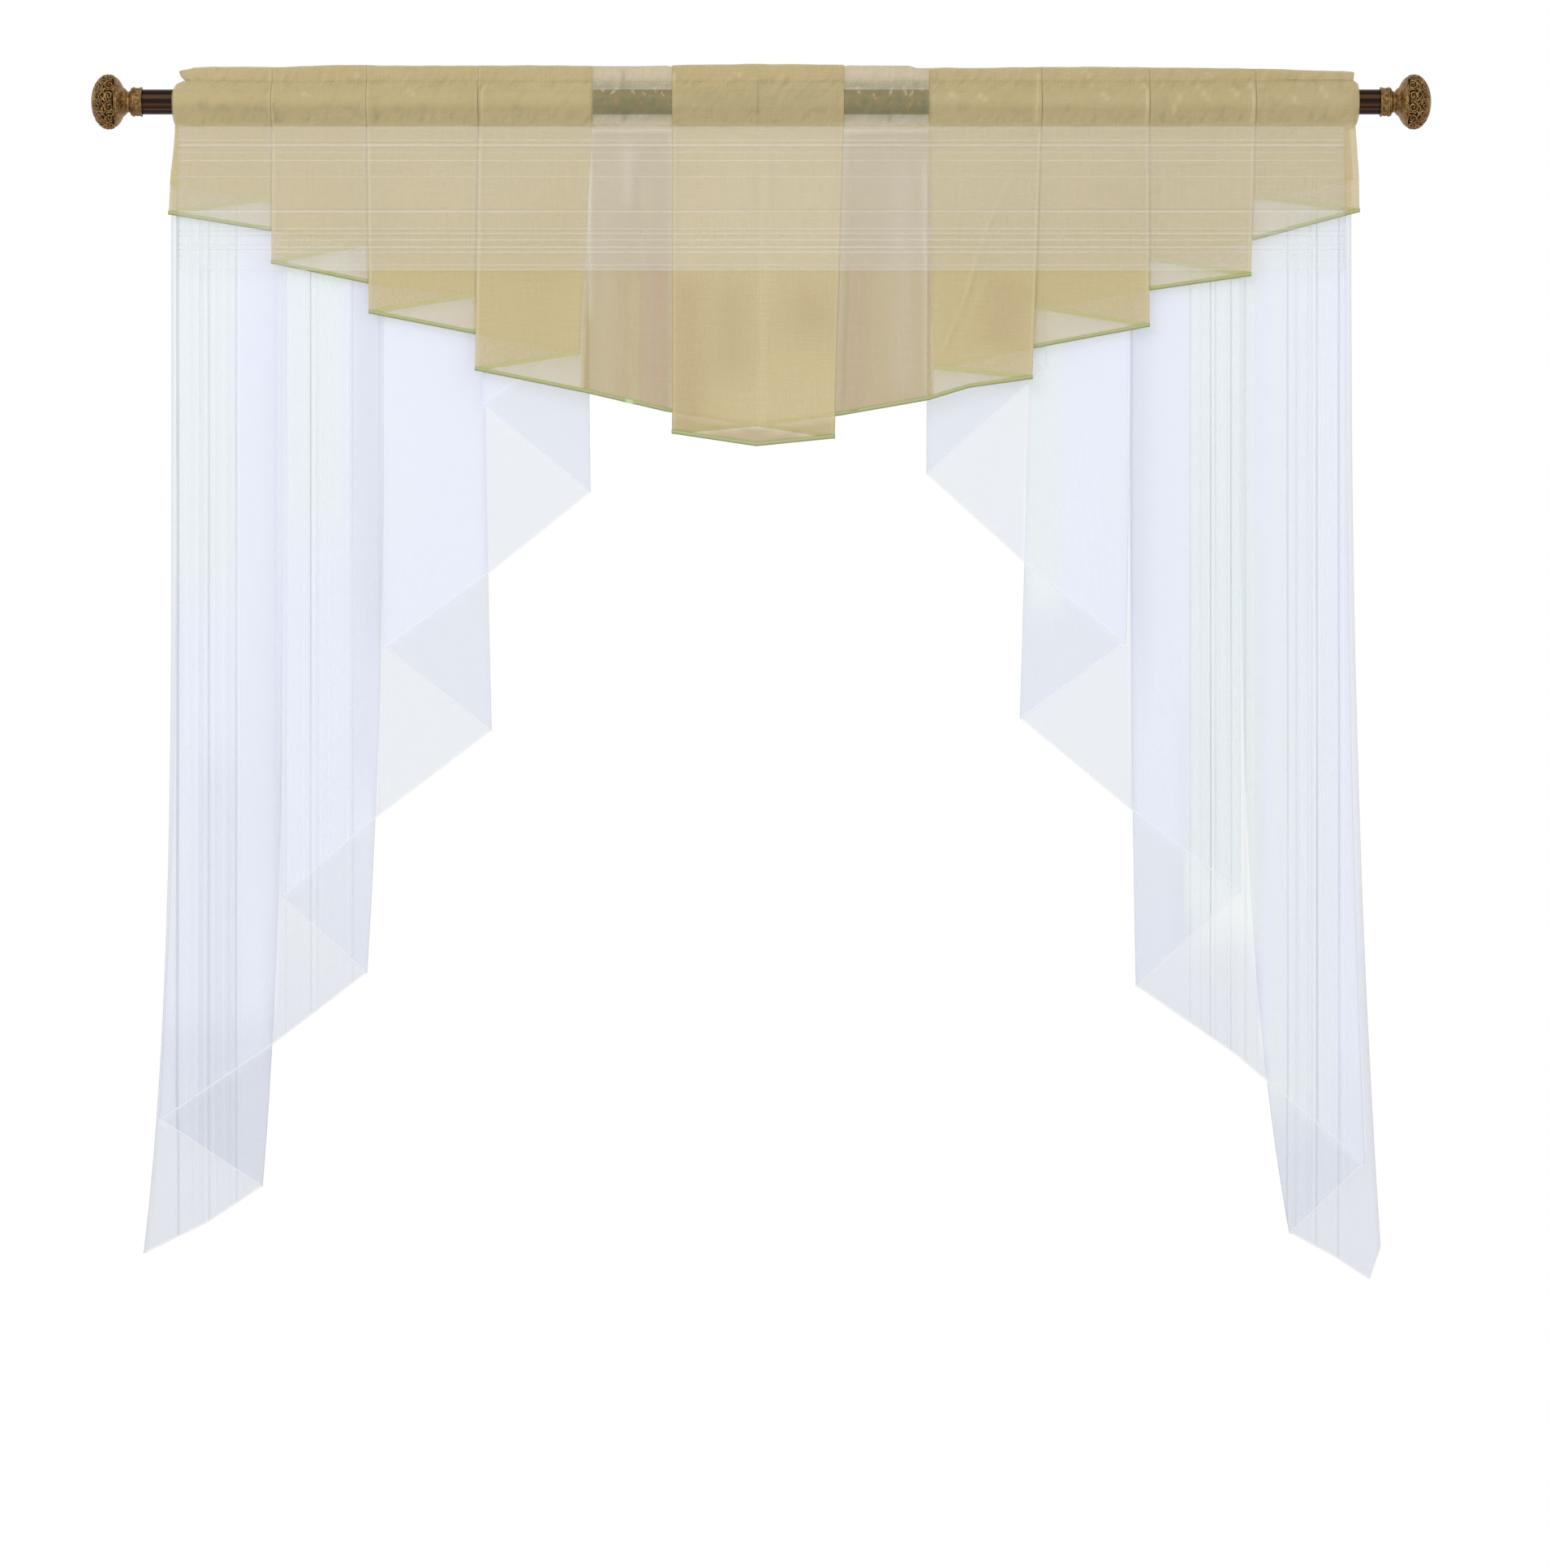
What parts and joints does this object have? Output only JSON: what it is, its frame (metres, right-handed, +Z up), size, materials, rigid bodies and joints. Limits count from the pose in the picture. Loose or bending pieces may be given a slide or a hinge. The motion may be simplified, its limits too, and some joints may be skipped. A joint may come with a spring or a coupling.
{
  "type": "cafe curtain on a decorative rod",
  "caption": "Arched cafe curtain: pleated gold sheer valance with a pointed hem, a white voile band and two white cascading side panels, hung by its pocket on a dark rod with pierced brass finials.",
  "frame": {"origin": "middle of the rod's axis", "axes": "+X along the rod to the right, +Z up, the curtain's front faces -Y"},
  "size_m": [1.717, 0.0706, 1.5579],
  "materials": {
    "dark_bronze": "dark bronze lacquer, satin",
    "antique_brass": "antique brass with dark recesses",
    "gold_voile": "sheer plain weave, gold beige",
    "olive_binding": "narrow satin edging, olive green",
    "white_voile": "sheer plain weave with fine thread lines, white"
  },
  "bodies": {
    "root": {"rod": "dark_bronze", "collar_left": "antique_brass", "collar_right": "antique_brass", "finial_left": "antique_brass", "finial_right": "antique_brass", "valance": "gold_voile", "valance_binding": "olive_binding", "voile_band": "white_voile", "side_panel_left": "white_voile", "side_panel_right": "white_voile"}
  },
  "joints": []
}
